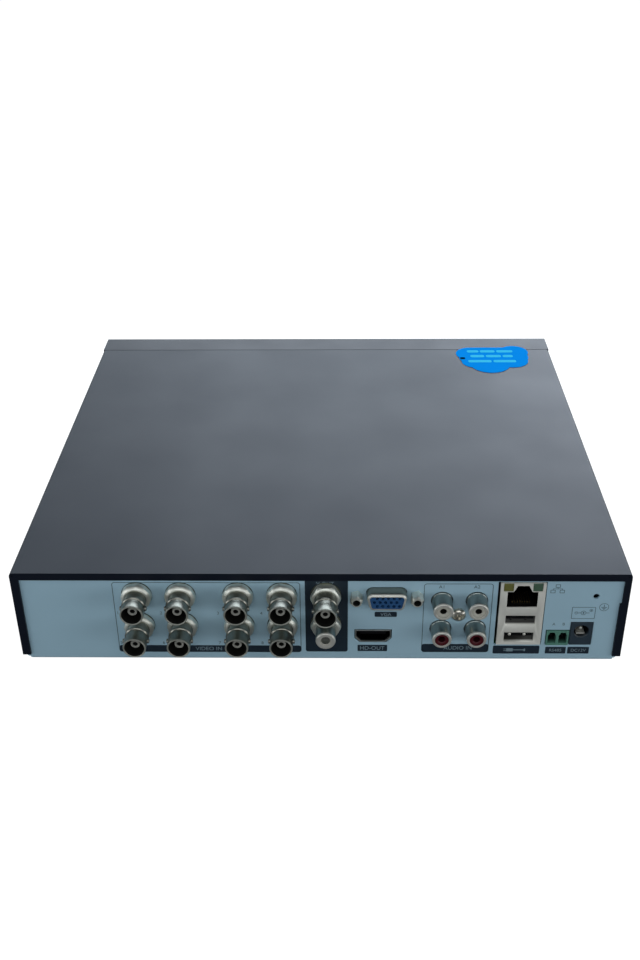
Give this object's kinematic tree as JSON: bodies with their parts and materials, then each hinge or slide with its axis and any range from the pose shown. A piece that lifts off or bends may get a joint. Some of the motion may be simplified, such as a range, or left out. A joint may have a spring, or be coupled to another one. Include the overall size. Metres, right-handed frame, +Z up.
{
  "type": "video recorder",
  "caption": "Flat steel-cased video recorder with rear coax, audio, monitor, network and power sockets, and a disk drive and fan inside.",
  "frame": {"origin": "middle of the footprint, on the surface that the rubber feet stand on", "axes": "+X to the right of the front, so to the left of the socket side as seen from behind; -Y is the bezel's side, +Y the rear panel with the sockets; +Z up"},
  "size_m": [0.255, 0.25, 0.0485],
  "materials": {
    "cover_paint": "fine-textured black powder coat, satin",
    "tray_paint": "pale blue-grey coated steel, satin",
    "bezel_plastic": "glossy black moulded plastic",
    "window_plastic": "clear smoked plastic, polished",
    "black_screws": "black oxide, satin",
    "bright_screws": "nickel plated, satin",
    "foot_rubber": "matt black rubber",
    "blue_label": "printed film, satin",
    "nickel": "nickel-plated die casting, bright",
    "insulator": "cream plastic, satin",
    "gold_contact": "gold-plated contact, bright",
    "black_plastic": "moulded black plastic, satin",
    "white_plastic": "moulded white plastic, satin",
    "red_plastic": "moulded dark red plastic, satin",
    "blue_plastic": "moulded blue plastic, satin",
    "green_plastic": "moulded green plastic, satin",
    "tin_plate": "tin-plated sheet steel, satin",
    "light_diffuser": "translucent plastic, satin",
    "circuit_board": "green solder mask, satin",
    "anodised": "black anodised, satin",
    "alu_casting": "die-cast aluminium, satin",
    "bright_alu": "machined aluminium, bright",
    "lead_red": "red cable covering, satin"
  },
  "bodies": {
    "recorder": {"base_tray": "tray_paint", "rear_panel": "tray_paint", "top_cover": "cover_paint", "front_bezel": "bezel_plastic", "front_window": "window_plastic", "cover_screws": "black_screws", "rubber_feet": "foot_rubber", "cloud_sticker": "blue_label", "video_in_1": "nickel", "video_in_2": "nickel", "video_in_3": "nickel", "video_in_4": "nickel", "video_in_5": "nickel", "video_in_6": "nickel", "video_in_7": "nickel", "video_in_8": "nickel", "video_out": "nickel", "audio_out": "nickel", "coax_insulators": "insulator", "coax_contacts": "gold_contact", "coax_nuts": "nickel", "coax_washers": "tin_plate", "coax_housings": "black_plastic", "audio_in_1": "nickel", "audio_in_2": "nickel", "audio_in_3": "nickel", "audio_in_4": "nickel", "audio_white_inserts": "white_plastic", "audio_red_inserts": "red_plastic", "audio_housing": "black_plastic", "monitor_shell": "nickel", "monitor_insert": "blue_plastic", "monitor_bracket": "black_plastic", "monitor_jack_screws": "nickel", "digital_shell": "tin_plate", "digital_tongue": "black_plastic", "network_cage": "tin_plate", "network_insert": "black_plastic", "network_contacts": "gold_contact", "network_lights": "light_diffuser", "data_tongues": "black_plastic", "terminal_block": "green_plastic", "terminal_pins": "tin_plate", "dc_jack": "black_plastic", "dc_jack_contacts": "tin_plate", "main_board": "circuit_board", "bright_screws": "bright_screws", "heat_sink": "anodised", "board_chips": "black_plastic", "board_capacitors": "black_plastic", "clock_battery": "tin_plate", "front_board": "circuit_board", "status_lights": "white_plastic", "drive_casting": "alu_casting", "drive_lid": "bright_alu", "fan_frame": "black_plastic", "inner_leads": "lead_red"},
    "fan_rotor": {"fan_rotor": "black_plastic"},
    "platters": {"drive_platters": "bright_alu"},
    "head_arm": {"drive_arm": "bright_alu"}
  },
  "joints": [
    {"name": "fan_spin", "type": "hinge", "parent": "recorder", "child": "fan_rotor", "pos_m": [0.1202, -0.052, 0.0262], "axis": [1, 0, 0], "continuous": true},
    {"name": "platter_spin", "type": "hinge", "parent": "recorder", "child": "platters", "pos_m": [-0.0645, -0.0522, 0.0186], "axis": [0, 0, 1], "continuous": true},
    {"name": "head_arm_swing", "type": "hinge", "parent": "recorder", "child": "head_arm", "pos_m": [-0.0065, -0.0342, 0.018], "axis": [0, 0, 1], "range_deg": [-34, 0]}
  ]
}
